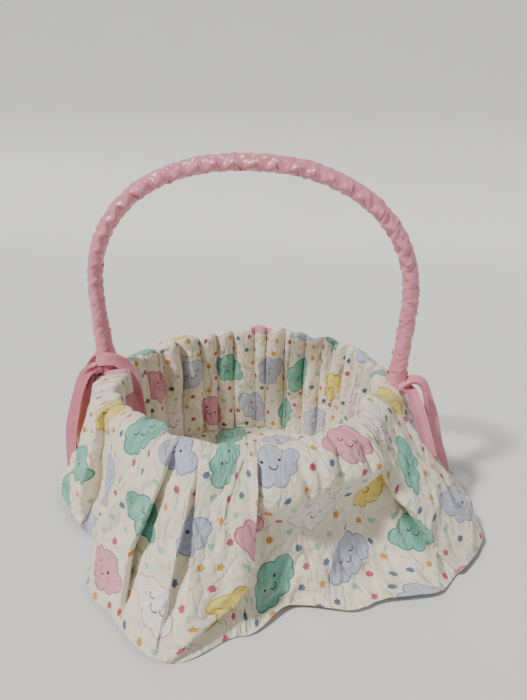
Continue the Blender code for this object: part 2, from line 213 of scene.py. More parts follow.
def new_group(name, inputs, outputs):
    group = bpy.data.node_groups.new(name, "ShaderNodeTree")
    for socket, kind in inputs:
        group.interface.new_socket(socket, in_out="INPUT", socket_type=kind)
    for socket, kind in outputs:
        group.interface.new_socket(socket, in_out="OUTPUT", socket_type=kind)
    return group, group.nodes.new("NodeGroupInput").outputs, group.nodes.new("NodeGroupOutput").inputs


def use_group(tree, group, *values):
    made = add_node(tree, "ShaderNodeGroup", node_tree=group)
    for i, value in enumerate(values):
        tree.links.new(value, made.inputs[i])
    return made.outputs


print("node helpers ready")

# %% [markdown]
# ## The printed cotton
# The cloth is cream cotton, printed with rounded clouds about 60 mm wide. They are mint, yellow, pink,
# blue-grey and cream, each with a darker edge and a small plain face. Between them are little flowers,
# stars and hearts 8 mm across. An image would do it, but a print made of nodes stays sharp at any
# distance and needs no file. The cloth's own UV map is in metres, so each shape has its true size.

# %% One cloud's outline
CLOUD_ROUNDS = (
    (-0.0215, -0.0040, 0.0112), (-0.0115, 0.0060, 0.0122),
    (0.0050, 0.0095, 0.0150), (0.0215, -0.0010, 0.0118),
    (0.0000, -0.0030, 0.0150), (-0.0130, -0.0110, 0.0094),
    (0.0020, -0.0140, 0.0096), (0.0160, -0.0100, 0.0094),
)

cloud_outline, got, gives = new_group(
    "cloud_outline", [("Place", "NodeSocketVector")], [("Distance", "NodeSocketFloat")]
)
nearest = None
for x, y, radius in CLOUD_ROUNDS:
    off = minus(cloud_outline, point_maths(cloud_outline, "DISTANCE", got[0], (x, y, 0)), radius)
    nearest = off if nearest is None else maths(cloud_outline, "MINIMUM", nearest, off)
cloud_outline.links.new(nearest, gives[0])
print("cloud outline of", len(CLOUD_ROUNDS), "rounds")

# %% Where the clouds lie on the cloth
CLOUD_SPACING_U = 0.088
CLOUD_SPACING_V = 0.078
CLOUD_STRAY = 0.010
CLOUD_TURN = 2.6

cloud_field, got, gives = new_group(
    "cloud_field",
    [("Cloth", "NodeSocketVector")],
    [("Distance", "NodeSocketFloat"), ("Place", "NodeSocketVector"), ("Kind", "NodeSocketFloat"),
     ("Chance", "NodeSocketFloat")],
)
g = cloud_field
u, v, _ = parts_of(g, got[0])
row = maths(g, "FLOOR", maths(g, "DIVIDE", v, CLOUD_SPACING_V))
slid_u = plus(g, u, times(g, maths(g, "FLOORED_MODULO", row, 2.0), CLOUD_SPACING_U / 2))
column = maths(g, "FLOOR", maths(g, "DIVIDE", slid_u, CLOUD_SPACING_U))
chance = add_node(g, "ShaderNodeTexWhiteNoise", {"Vector": point(g, column, row, 3.0)})
across, up, turn = parts_of(g, chance.outputs["Color"])


def from_middle(value, index, spacing, luck):
    middle = times(g, plus(g, index, 0.5), spacing)
    stray = times(g, minus(g, luck, 0.5), CLOUD_STRAY)
    return minus(g, minus(g, value, middle), stray)


place = point(g, from_middle(slid_u, column, CLOUD_SPACING_U, across),
              from_middle(v, row, CLOUD_SPACING_V, up))
spun = add_node(
    g, "ShaderNodeVectorRotate",
    {"Vector": place, "Angle": times(g, minus(g, turn, 0.5), CLOUD_TURN)},
    rotation_type="Z_AXIS",
)
kind = plus(g, times(g, column, 2.0), times(g, row, 3.0))
kind = maths(g, "DIVIDE", plus(g, maths(g, "FLOORED_MODULO", kind, 7.0), 0.5), 7.0)
g.links.new(use_group(g, cloud_outline, spun.outputs[0])[0], gives[0])
g.links.new(spun.outputs[0], gives[1])
g.links.new(kind, gives[2])
g.links.new(chance.outputs["Value"], gives[3])
print("clouds every", CLOUD_SPACING_U, "by", CLOUD_SPACING_V, "m")

# %% A plain face: two eyes and a smile
EYE_APART = 0.0088
EYE_RADIUS = 0.0018
SLEEPY_EYE_RADIUS = 0.0029
SMILE_RADIUS = 0.0040
LINE_WIDTH = 0.0012

face_lines, got, gives = new_group(
    "face_lines",
    [("Place", "NodeSocketVector"), ("Sleepy", "NodeSocketFloat")],
    [("Line", "NodeSocketFloat"), ("Cheek", "NodeSocketFloat")],
)
g = face_lines
x, y, _ = parts_of(g, got[0])
folded = point(g, maths(g, "ABSOLUTE", x), y)


def lower_arc(where, centre, radius):
    off = minus(g, point_maths(g, "DISTANCE", where, centre), radius)
    on_line = maths(g, "LESS_THAN", maths(g, "ABSOLUTE", off), LINE_WIDTH / 2)
    return times(g, on_line, maths(g, "LESS_THAN", y, centre[1]))


def spot(where, centre, radius):
    return maths(g, "LESS_THAN", point_maths(g, "DISTANCE", where, centre), radius)


open_eye = spot(folded, (EYE_APART, 0.0018, 0), EYE_RADIUS)
closed_eye = lower_arc(folded, (EYE_APART, 0.0028, 0), SLEEPY_EYE_RADIUS)
smile = lower_arc(got[0], (0, -0.0022, 0), SMILE_RADIUS)
eye = plus(g, times(g, closed_eye, got[1]),
            times(g, open_eye, minus(g, 1.0, got[1])))
g.links.new(maths(g, "MAXIMUM", eye, smile), gives[0])
g.links.new(spot(folded, (EYE_APART + 0.0052, -0.0030, 0), 0.0021), gives[1])
print("face lines ready")

# %% The small flowers, stars and hearts
MOTIF_SPACING = 0.0218
MOTIF_RADIUS = 0.0037
MOTIF_STRAY = 0.0050
MOTIF_FROM_CLOUD = 0.0046

small_motifs, got, gives = new_group(
    "small_motifs",
    [("Cloth", "NodeSocketVector")],
    [("Inside", "NodeSocketFloat"), ("Kind", "NodeSocketFloat")],
)
g = small_motifs
u, v, _ = parts_of(g, got[0])
row = maths(g, "FLOOR", maths(g, "DIVIDE", v, MOTIF_SPACING))
slide = times(g, maths(g, "FLOORED_MODULO", row, 2.0), MOTIF_SPACING / 2)
slid_u = plus(g, u, slide)
column = maths(g, "FLOOR", maths(g, "DIVIDE", slid_u, MOTIF_SPACING))
chance = add_node(g, "ShaderNodeTexWhiteNoise", {"Vector": point(g, column, row, 11.0)})
across, up, _ = parts_of(g, chance.outputs["Color"])


def motif_middle(index, luck):
    middle = times(g, plus(g, index, 0.5), MOTIF_SPACING)
    return plus(g, middle, times(g, minus(g, luck, 0.5), MOTIF_STRAY))


middle_u, middle_v = motif_middle(column, across), motif_middle(row, up)
x, y = minus(g, slid_u, middle_u), minus(g, v, middle_v)
away = point_maths(g, "LENGTH", point(g, x, y))
round_it = maths(g, "ARCTAN2", y, x)
kind = maths(g, "FLOORED_MODULO", plus(g, column, times(g, row, 2.0)), 4.0)
kind = maths(g, "FLOORED_MODULO", plus(g, kind, maths(g, "GREATER_THAN", across, 0.72)), 4.0)


def lobed(lobes, depth):
    wave = maths(g, "COSINE", times(g, round_it, lobes))
    edge = times(g, plus(g, times(g, wave, depth), 1.0), MOTIF_RADIUS)
    return maths(g, "LESS_THAN", away, edge)


def petals(count, depth):
    wave = maths(g, "ABSOLUTE", maths(g, "COSINE", times(g, round_it, count / 2)))
    edge = times(g, plus(g, times(g, wave, depth), 1.12 - depth), MOTIF_RADIUS)
    return maths(g, "LESS_THAN", away, edge)


mirrored = maths(g, "ABSOLUTE", x)
lobe = point_maths(g, "DISTANCE", point(g, mirrored, y), (0.0017, 0.0011, 0))
tip = plus(g, mirrored, maths(g, "ABSOLUTE", plus(g, y, 0.0005)))
heart = maths(g, "MAXIMUM", maths(g, "LESS_THAN", lobe, 0.0022), maths(g, "LESS_THAN", tip, 0.0035))
is_star = maths(g, "COMPARE", kind, 2.0, 0.5)
is_heart = maths(g, "COMPARE", kind, 3.0, 0.5)
is_flower = maths(g, "LESS_THAN", kind, 1.5)
inside = times(g, is_flower, petals(6.0, 0.34))
inside = plus(g, inside, times(g, is_star, lobed(5.0, 0.17)))
inside = plus(g, inside, times(g, is_heart, heart))
there = point(g, minus(g, middle_u, slide), middle_v)
clear = maths(g, "GREATER_THAN", use_group(g, cloud_field, there)[0], MOTIF_FROM_CLOUD)
g.links.new(times(g, inside, clear), gives[0])
g.links.new(maths(g, "DIVIDE", plus(g, kind, 0.5), 4.0), gives[1])
print("motifs every", MOTIF_SPACING, "m")

# %% Cotton, printed
CREAM = colour_of("EAE1CC")
MINT, MINT_EDGE = colour_of("6FB5A3"), colour_of("3F8273")
YELLOW, YELLOW_EDGE = colour_of("E2CB62"), colour_of("B89A36")
PINK, PINK_EDGE = colour_of("D98FA5"), colour_of("B06A82")
MIST, MIST_EDGE = colour_of("B3B9CC"), colour_of("858EA8")
PALE, PALE_EDGE = colour_of("F0E4E2"), colour_of("D99DB2")
CLOUD_COLOURS = (MINT, YELLOW, MIST, MINT, PINK, MIST, PALE)
CLOUD_EDGES = (MINT_EDGE, YELLOW_EDGE, MIST_EDGE, MINT_EDGE, PINK_EDGE, MIST_EDGE, PALE_EDGE)
MOTIF_COLOURS = (colour_of("B82C58"), colour_of("34587F"), colour_of("CF8C22"), colour_of("94C2AC"))
FACE_INK = colour_of("24242A")
BLUSH = colour_of("D98399")
EDGE_WIDTH = 0.0014
THREADS_PER_METRE = 1500.0

cotton, t, shader = new_finish("printed_cotton_cloth")
cloth = add_node(t, "ShaderNodeUVMap", uv_map="cloth_metres").outputs[0]
wobble = add_node(t, "ShaderNodeTexNoise", {"Vector": cloth, "Scale": 90.0, "Detail": 2.0})
motif = use_group(t, small_motifs, cloth)
colour = paint(t, CREAM, steps_of_colour(t, motif[1], MOTIF_COLOURS), times(t, motif[0], 0.92))
distance, place, kind, luck = use_group(t, cloud_field, cloth)[:4]
rough_distance = plus(t, distance, times(t, minus(t, wobble.outputs[0], 0.5), 0.0016))
in_cloud = maths(t, "LESS_THAN", rough_distance, 0.0)
in_edge = times(t, in_cloud, maths(t, "GREATER_THAN", rough_distance, -EDGE_WIDTH))
fill = steps_of_colour(t, kind, CLOUD_COLOURS)
watery = add_node(t, "ShaderNodeTexNoise", {"Vector": cloth, "Scale": 38.0, "Detail": 3.0})
fill = paint(t, fill, CREAM, times(t, minus(t, watery.outputs[0], 0.35), 0.45))
colour = paint(t, colour, fill, in_cloud)
colour = paint(t, colour, steps_of_colour(t, kind, CLOUD_EDGES), in_edge)
face = use_group(t, face_lines, place, maths(t, "GREATER_THAN", luck, 0.5))
colour = paint(t, colour, BLUSH, times(t, times(t, face[1], in_cloud), 0.55))
colour = paint(t, colour, FACE_INK, times(t, times(t, face[0], in_cloud), 0.95))
mottle = add_node(t, "ShaderNodeTexNoise", {"Vector": cloth, "Scale": 14.0, "Detail": 4.0})
shade = times(t, minus(t, mottle.outputs[0], 0.42), 0.30)
colour = paint(t, colour, colour_of("CDBFA6"), shade)
t.links.new(colour, shader.inputs["Base Color"])
shader.inputs["Roughness"].default_value = 0.86
shader.inputs["Specular IOR Level"].default_value = 0.25
shader.inputs["Sheen Weight"].default_value = 0.18
shader.inputs["Sheen Roughness"].default_value = 0.5
u, v, _ = parts_of(t, cloth)
warp = maths(t, "SINE", times(t, u, THREADS_PER_METRE * 2 * math.pi))
weft = maths(t, "SINE", times(t, v, THREADS_PER_METRE * 2 * math.pi))
weave = times(t, warp, weft)
weave_bump = add_node(t, "ShaderNodeBump", {"Height": weave, "Distance": 0.00004, "Strength": 0.5})
hanging = point(t, times(t, u, 1.5), times(t, v, 0.8))
last_bump = weave_bump.outputs[0]
for size, depth in ((17.0, 0.017), (41.0, 0.0065)):
    bend = add_node(
        t, "ShaderNodeTexNoise",
        {"Vector": hanging, "Scale": size, "Detail": 2.0, "Distortion": 0.8},
    )
    crease = maths(t, "POWER", maths(t, "ABSOLUTE", minus(t, bend.outputs[0], 0.5)), 0.8)
    crease_bump = add_node(
        t, "ShaderNodeBump",
        {"Height": crease, "Distance": depth, "Strength": 0.7, "Normal": last_bump},
    )
    last_bump = crease_bump.outputs[0]
t.links.new(last_bump, shader.inputs["Normal"])
print("cotton:", len(t.nodes), "nodes")

# %% [markdown]
# ## The satin
# Satin ribbon is woven with long floats, so light runs along it in streaks and its gloss is stronger
# across than along. The shader's own anisotropy does that, turned by the ribbon's UV map. Fine ribs
# across the width and a little uneven tension keep it from looking like plastic.

# %% Pink satin
satin, t, shader = new_finish("pink_satin_ribbon")
along = add_node(t, "ShaderNodeUVMap", uv_map="ribbon_metres").outputs[0]
u, v, _ = parts_of(t, along)
streak = add_node(
    t, "ShaderNodeTexNoise",
    {"Vector": point(t, times(t, u, 900.0), times(t, v, 60.0)), "Scale": 1.0, "Detail": 3.0},
)
tone = add_node(t, "ShaderNodeTexNoise", {"Vector": along, "Scale": 45.0, "Detail": 3.0})
satin_colour = paint(t, colour_of("D98294"), colour_of("E9A0AE"), tone.outputs[0])
satin_colour = paint(t, satin_colour, colour_of("C46E82"), times(t, streak.outputs[0], 0.35))
t.links.new(satin_colour, shader.inputs["Base Color"])
shader.inputs["Roughness"].default_value = 0.27
shader.inputs["Specular IOR Level"].default_value = 0.55
shader.inputs["Anisotropic"].default_value = 0.55
shader.inputs["Sheen Weight"].default_value = 0.22
shader.inputs["Sheen Roughness"].default_value = 0.35
shader.inputs["Sheen Tint"].default_value = colour_of("F8D5DC")
tangent = add_node(t, "ShaderNodeTangent", direction_type="UV_MAP", uv_map="ribbon_metres")
t.links.new(tangent.outputs[0], shader.inputs["Tangent"])
rib = maths(t, "SINE", times(t, v, 2600.0 * math.pi))
rib_bump = add_node(t, "ShaderNodeBump", {"Height": rib, "Distance": 0.00003, "Strength": 0.4})
pucker = add_node(t, "ShaderNodeTexNoise", {"Vector": along, "Scale": 120.0, "Detail": 4.0})
pucker_bump = add_node(
    t, "ShaderNodeBump",
    {"Height": pucker.outputs[0], "Distance": 0.0010, "Strength": 0.5, "Normal": rib_bump.outputs[0]},
)
t.links.new(pucker_bump.outputs[0], shader.inputs["Normal"])
print("satin:", len(t.nodes), "nodes")

# %% [markdown]
# ## Willow, board, floor and backdrop
# The basket under the cloth is peeled willow: tan rods with long darker streaks, and a turned board at
# the bottom. Their shape is right as packed, so they only get a better finish, on Object coordinates.


# %% Willow
def streaky_wood(name, pale, dark, stretch, gloss):
    material, tree, surface = new_finish(name)
    where = add_node(tree, "ShaderNodeTexCoord").outputs["Object"]
    run = add_node(tree, "ShaderNodeMapping", {"Vector": where, "Scale": stretch}).outputs[0]
    grain = add_node(
        tree, "ShaderNodeTexNoise", {"Vector": run, "Scale": 1.0, "Detail": 6.0, "Roughness": 0.6},
    )
    patch = add_node(tree, "ShaderNodeTexNoise", {"Vector": where, "Scale": 22.0, "Detail": 2.0})
    colour = paint(tree, pale, dark, grain.outputs[0])
    colour = paint(tree, colour, dark, times(tree, patch.outputs[0], 0.35))
    tree.links.new(colour, surface.inputs["Base Color"])
    surface.inputs["Roughness"].default_value = gloss
    bump = add_node(
        tree, "ShaderNodeBump", {"Height": grain.outputs[0], "Distance": 0.0004, "Strength": 0.6},
    )
    tree.links.new(bump.outputs[0], surface.inputs["Normal"])
    return material


WILLOW_PALE, WILLOW_DARK = colour_of("C79A62"), colour_of("7E5530")
upright_willow = streaky_wood("upright_willow", WILLOW_PALE, WILLOW_DARK, (420, 420, 35), 0.55)
woven_willow = streaky_wood("woven_willow", WILLOW_PALE, WILLOW_DARK, (90, 90, 600), 0.55)
board_wood = streaky_wood("board_wood", colour_of("D2AE7A"), colour_of("9A6F42"), (26, 260, 260), 0.6)
for name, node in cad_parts.items():
    if name.startswith(("stake", "handle_bow")):
        finish = upright_willow
    elif name.startswith(("weaver", "rim_hoop", "handle_peg")):
        finish = woven_willow
    elif name == "base_board":
        finish = board_wood
    else:
        continue
    node.data.materials.clear()
    node.data.materials.append(finish)
print("willow finishes given")

# %% Floor finish
floor_paint, t, shader = new_finish("pale_floor")
where = add_node(t, "ShaderNodeTexCoord").outputs["Object"]
grain = add_node(t, "ShaderNodeTexNoise", {"Vector": where, "Scale": 3.0, "Detail": 3.0})
t.links.new(
    paint(t, colour_of("DEDEDC"), colour_of("E4E4E2"), grain.outputs[0]), shader.inputs["Base Color"],
)
shader.inputs["Roughness"].default_value = 0.6
floor.data.materials.append(floor_paint)
backdrop.data.materials.append(floor_paint)
print("floor finished")

# %% [markdown]
# ## Cloth in mesh code
# A sheet is a grid: rows down the cloth, columns across it. Each fold is a formula that moves the grid
# off a smooth base shape, sideways as well as outwards, so that one layer can lie over the next. The
# columns are then spaced evenly along the real cloth, and that length becomes the UV map in metres.


# %% Sheet helpers
def around(stations, degrees):
    """Values given at a few directions round the basket, eased from each to the next."""
    at = np.array([s[0] for s in stations], float)
    value = np.array([s[1] for s in stations], float)
    at = np.concatenate([[at[-1] - 360], at, [at[0] + 360]])
    value = np.concatenate([[value[-1]], value, [value[0]]])
    turned = (np.asarray(degrees, float) - at[0]) % 360 + at[0]
    i = np.clip(np.searchsorted(at, turned, side="right") - 1, 0, len(at) - 2)
    share = (turned - at[i]) / (at[i + 1] - at[i])
    return value[i] + (value[i + 1] - value[i]) * (0.5 - 0.5 * np.cos(np.pi * share))


def from_polar(degrees, radius, height):
    turn = np.radians(degrees)
    return np.stack([radius * np.cos(turn), radius * np.sin(turn), height + 0 * turn], axis=-1)


def solidify(obj, thickness):
    """Gives the sheet its thickness and applies it."""
    clean_start()
    obj.select_set(True)
    bpy.context.view_layer.objects.active = obj
    modifier = obj.modifiers.new("thickness", "SOLIDIFY")
    modifier.thickness = thickness
    modifier.offset = 0.0
    bpy.ops.object.modifier_apply(modifier=modifier.name)
    bpy.ops.object.shade_smooth_by_angle(angle=math.radians(70))


def four_corners(grid, axis):
    """The four corners of every cell of a grid, in order round the cell."""
    return np.stack([grid[:-1, :-1], grid[1:, :-1], grid[1:, 1:], grid[:-1, 1:]], axis)


def grid_sheet(name, points, metres, uv_name, material, thickness, closed=False):
    """A sheet from rows of points, with its UV map in metres. A closed sheet meets itself
    at one seam."""
    rows, columns = points.shape[:2]
    index = np.arange(rows * columns).reshape(rows, columns)
    corners = index if not closed else np.column_stack([index, index[:, :1]])
    quads = four_corners(corners, -1).reshape(-1, 4)
    flat = four_corners(metres, -2).reshape(-1, 2)
    mesh = bpy.data.meshes.new(name)
    mesh.from_pydata(points.reshape(-1, 3).tolist(), [], quads.tolist())
    layer = mesh.uv_layers.new(name=uv_name)
    layer.data.foreach_set("uv", flat.astype(np.float32).ravel())
    mesh.materials.append(material)
    mesh.shade_smooth()
    obj = bpy.data.objects.new(name, mesh)
    bpy.context.scene.collection.objects.link(obj)
    solidify(obj, thickness)
    print(name, "triangles:", sum(len(p.vertices) - 2 for p in obj.data.polygons))
    return obj


def even_columns(surface, count, probes=6000):
    """Directions for count columns, evenly spaced along the folded cloth, and the cloth's
    whole width."""
    fine = np.linspace(-180, 180, probes + 1)
    steps = np.linalg.norm(np.diff(surface(fine), axis=1), axis=2).mean(axis=0)
    run = np.concatenate([[0], np.cumsum(steps)])
    return np.interp(np.arange(count) / count * run[-1], run, fine), run[-1]


def metres_of(points, width):
    """The cloth's own coordinates: even across, and down each column by its length, evened
    out a little."""
    columns = points.shape[1]
    down = np.linalg.norm(np.diff(points, axis=0), axis=2)
    kernel = np.ones(25) / 25
    wrapped = np.concatenate([down[:, -12:], down, down[:, :12]], axis=1)
    down = np.array([np.convolve(line, kernel, "valid") for line in wrapped])
    down = np.concatenate([np.zeros((1, columns)), np.cumsum(down, axis=0)])
    down = np.concatenate([down, down[:, :1]], axis=1)
    across = np.broadcast_to(np.linspace(0, width, columns + 1), down.shape)
    return np.stack([across, -down], axis=-1), down[-1].mean()


CLOTH = 0.0006


def cotton_piece(name, points, metres, stands_for):
    """A closed sheet of the printed cotton, shown in place of the plain solid that it stands for."""
    piece = grid_sheet(name, points, metres, "cloth_metres", cotton, CLOTH, closed=True)
    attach(piece, "root")
    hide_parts(stands_for)
    return piece


print("sheet helpers ready")

# %% [markdown]
# ## The liner's wall
# Inside, the liner is gathered: the cloth is longer than the basket's wall, so it stands in rounded
# ridges with narrow dark creases between them. The ridges are close together at the back and soft at
# the front. Each crease has its own direction at the top and at the bottom, so the ridges wander.

# %% Liner wall
liner_low, liner_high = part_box("liner_wall")
WALL_TOP_RADIUS = liner_high.x
WALL_TAPER = 0.0048
WALL_TOP, WALL_BOTTOM = liner_high.z, liner_low.z + CLOTH
WALL_COLUMNS, WALL_ROWS = 900, 34
GATHER_HEIGHT = [
    (-170, 0.60), (-120, 0.45), (-60, 0.45), (-20, 0.7), (10, 1.0), (60, 1.05), (120, 0.95), (160, 0.8),
]
GATHER_PITCH = [
    (-170, 7.0), (-90, 12.0), (-20, 7.0), (18, 4.0), (40, 5.5), (75, 7.0), (120, 8.0), (160, 7.0),
]
GATHER_TALLEST = 0.0165
GATHER_SHARE = 0.62
GATHER_SLIP = 0.0080
DEGREES_IN_RADIAN = 57.3
FULL_TURN = 6.28
gather_luck = np.random.default_rng(7)


def crease_directions():
    """Where the creases are, in degrees, with each one's drift down the wall, depth, lean
    and fineness."""
    at, rows = -180.0, []
    while at < 178.0:
        pitch = float(around(GATHER_PITCH, at)) * gather_luck.uniform(0.45, 1.75)
        drift, depth = gather_luck.normal(0, 1.3), gather_luck.uniform(0.6, 1.25)
        rows.append((at, drift, depth, gather_luck.uniform(-1, 1), gather_luck.uniform(0, 1)))
        at += pitch
    return np.array(rows)


creases = crease_directions()


def gathers(degrees, down):
    """How far the cloth stands in and how far it slips sideways, where down is 0 at the top
    and 1 at the floor."""
    edge = creases[:, 0] + creases[:, 1] * down
    edge = np.append(edge, edge[0] + 360)
    i = np.clip(np.searchsorted(edge, degrees, side="right") - 1, 0, len(creases) - 1)
    pitch = edge[i + 1] - edge[i]
    share = np.clip((degrees - edge[i]) / pitch, 0, 1)
    width = np.radians(pitch) * WALL_TOP_RADIUS
    skew = 1 + 0.55 * creases[i, 3]
    ridge = np.sin(np.pi * share ** skew) ** 0.55
    wander = 1 + 0.35 * np.sin(5.0 * down + FULL_TURN * creases[i, 4])
    tall = np.minimum(GATHER_TALLEST, GATHER_SHARE * width) * creases[i, 2] * wander
    tall = tall * around(GATHER_HEIGHT, degrees)
    slip = -creases[i, 3] * GATHER_SLIP / WALL_TOP_RADIUS * DEGREES_IN_RADIAN
    slip = slip * np.sin(np.pi * share) * (tall / GATHER_TALLEST)
    fine = 0.0011 * np.sin(np.radians(degrees * 47) + 3 * down) * np.sin(np.radians(degrees * 13)) ** 2
    return tall * ridge + np.maximum(fine, 0) * (0.4 + down), slip


def wall_surface(degrees):
    rows = []
    for down in np.linspace(0, 1, WALL_ROWS):
        stand, slip = gathers(degrees, down)
        loose = 0.82 + 0.18 * math.cos(math.pi * down) + 0.12 * math.sin(7 * down)
        slack = 0.0016 * np.sin(np.radians(degrees * 9) + 5 * down) * math.sin(math.pi * down)
        radius = WALL_TOP_RADIUS - WALL_TAPER * down - CLOTH - stand * loose - np.abs(slack)
        rows.append(from_polar(degrees + slip, radius, WALL_TOP + (WALL_BOTTOM - WALL_TOP) * down))
    return np.array(rows)


wall_degrees, wall_width = even_columns(wall_surface, WALL_COLUMNS)
wall_points = wall_surface(wall_degrees)
wall_metres, wall_drop = metres_of(wall_points, wall_width)
liner_wall = cotton_piece("liner_wall_cloth", wall_points, wall_metres, "liner_wall")
print("wall cloth", round(wall_width, 3), "by", round(wall_drop, 3), "m")

# %% [markdown]
# ## The liner's floor
# A round of the same cotton lies on the board. It is nearly flat, with the soft waves of cloth that has
# been pushed into place, and its edge is hidden under the gathered wall.

# %% Liner floor
floor_box_low, floor_box_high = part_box("liner_floor")
FLOOR_RADIUS = floor_box_high.x - 0.001
FLOOR_RINGS, FLOOR_SPOKES = 40, 160


def floor_round():
    rows, metres = [], []
    degrees = np.arange(FLOOR_SPOKES) / FLOOR_SPOKES * 360 - 180
    turn = np.radians(np.append(degrees, 180.0))
    for share in np.linspace(0.004, 1, FLOOR_RINGS):
        radius = FLOOR_RADIUS * share
        x, y = radius * np.cos(np.radians(degrees)), radius * np.sin(np.radians(degrees))
        wave = 0.0010 * np.sin(31 * x + 12 * np.sin(17 * y)) + 0.0008 * np.sin(47 * y + 23 * x)
        lift = 0.0012 + (0.0010 + wave) * np.cos(share * math.pi / 2) ** 0.5
        rows.append(np.stack([x, y, floor_box_low.z + np.maximum(lift, 0.0004)], axis=-1))
        metres.append(np.stack([radius * np.cos(turn), radius * np.sin(turn)], axis=-1))
    return np.array(rows), np.array(metres) + 0.31


floor_points, floor_metres = floor_round()
liner_floor = cotton_piece("liner_floor_cloth", floor_points, floor_metres, "liner_floor")
print("floor cloth", round(2 * FLOOR_RADIUS, 3), "m across")

# %% [markdown]
# ## The skirt
# The liner goes over the rim and falls outside, then lies out on the floor in wide lobes. A cloth
# simulation would find some folds, but not these ones, so each real fold is placed one by one: a proud
# panel at the front left with a sharp right edge, tucks at the rim beside it, a bulging middle, and a
# right-hand panel that laps over the middle. Each is given at five levels, from the rim to the hem.

# %% Skirt's base shape
RIM_OUT = 0.1913
RIM_SWELL = 0.0078
RIM_LOW = 0.160
HEM_LIFT = 0.0016
WICKER_OUT = 0.1893
SKIRT_HEM = [
    (-165, 0.241), (-141, 0.214), (-117, 0.260), (-96, 0.289), (-82, 0.252), (-69, 0.226), (-51, 0.256),
    (-33, 0.293), (-14, 0.307), (9, 0.295), (38, 0.246), (72, 0.224), (104, 0.233), (138, 0.222),
    (168, 0.232),
]
# 0 where the cloth slopes straight from the rim to the hem, 1 where it drops and then turns out on
# the floor
SKIRT_TURN = [
    (-165, 0.6), (-141, 0.7), (-117, 0.45), (-96, 0.35), (-84, 0.40), (-76, 1.0), (-60, 1.0),
    (-40, 1.0),
    (-30, 0.35), (-14, 0.15), (9, 0.25), (38, 0.6), (72, 0.8), (138, 0.8), (168, 0.6),
]
CREST = [
    (-180, 0.173), (-160, 0.170), (-140, 0.174), (-122, 0.180), (-105, 0.171), (-90, 0.170),
    (-64, 0.169),
    (-50, 0.173), (-35, 0.174), (-20, 0.180), (0, 0.180), (15, 0.178), (32, 0.180), (50, 0.180),
    (66, 0.174),
    (75, 0.178), (90, 0.181), (103, 0.178), (118, 0.169), (132, 0.173), (150, 0.168),
]
LEVELS = np.array([0, 0.25, 0.5, 0.75, 1.0])


def smooth_levels(values, down):
    """A value given at the five levels, read at each row."""
    return np.interp(down, LEVELS, values)


def base_profile(degrees, down):
    """The smooth skirt: radius, height, and the way out of the cloth, for rows down and
    columns across."""
    swell = 0.5 + 0.5 * np.cos(np.pi * np.minimum(np.abs(np.remainder(degrees + 90, 180) - 90) / 24, 1))
    start_r, hem_r = RIM_OUT + RIM_SWELL * swell, around(SKIRT_HEM, degrees)
    turn = around(SKIRT_TURN, degrees)
    ends = [(start_r, RIM_LOW), (None, None), (None, None), (hem_r, HEM_LIFT)]
    for i, drop in ((1, (0.011, 0.040)), (2, (0.016, 0.000))):
        straight_r = start_r + (hem_r - start_r) * i / 3
        straight_z = RIM_LOW * (1 - i / 3)
        ends[i] = (
            straight_r * (1 - turn) + (start_r + drop[0]) * turn,
            straight_z * (1 - turn) + drop[1] * turn,
        )
    t = down
    weights = ((1 - t) ** 3, 3 * t * (1 - t) ** 2, 3 * t * t * (1 - t), t ** 3)
    slopes = (-3 * (1 - t) ** 2, 3 * (1 - t) * (1 - 3 * t), 3 * t * (2 - 3 * t), 3 * t * t)
    radius = sum(w * e[0] for w, e in zip(weights, ends))
    height = sum(w * e[1] for w, e in zip(weights, ends))
    run_r = sum(w * e[0] for w, e in zip(slopes, ends))
    run_z = sum(w * e[1] for w, e in zip(slopes, ends))
    length = np.hypot(run_r, run_z) + 1e-9
    return radius, height, -run_z / length, run_r / length


print("skirt hem from", min(s[1] for s in SKIRT_HEM), "to", max(s[1] for s in SKIRT_HEM), "m")

# %% Skirt's folds
# Laps: direction, height and how far the edge lies over, at the five levels; the side that it opens to
LAPS = (
    {"at": (-79.0, -81.5, -83.5, -87.0, -96.0), "tall": (0.005, 0.017, 0.022, 0.017, 0.004),
     "over": (1.2, 3.6, 5.0, 4.4, 1.0), "opens": 1, "fade": 10.0},
    {"at": (-36.0, -32.5, -28.5, -27.0, -26.0), "tall": (0.003, 0.012, 0.017, 0.013, 0.004),
     "over": (0.8, 2.8, 4.2, 3.6, 1.2), "opens": -1, "fade": 10.0},
    {"at": (-105.0, -109.0, -112.0, -111.0, -110.0), "tall": (0.008, 0.013, 0.015, 0.009, 0.001),
     "over": (1.6, 2.6, 3.0, 1.6, 0.2), "opens": 1, "fade": 7.0},
    {"at": (-96.5, -98.0, -99.0, -99.0, -99.0), "tall": (0.006, 0.009, 0.010, 0.006, 0.001),
     "over": (1.2, 1.9, 2.1, 1.2, 0.2), "opens": 1, "fade": 3.5},
    {"at": (-93.0, -92.5, -92.5, -93.0, -94.0), "tall": (0.008, 0.010, 0.007, 0.003, 0.000),
     "over": (1.5, 2.1, 1.4, 0.4, 0.0), "opens": -1, "fade": 4.0},
    {"at": (-141.0, -143.0, -144.0, -144.0, -144.0), "tall": (0.005, 0.009, 0.009, 0.005, 0.001),
     "over": (1.2, 2.0, 2.0, 1.0, 0.2), "opens": 1, "fade": 6.0},
)
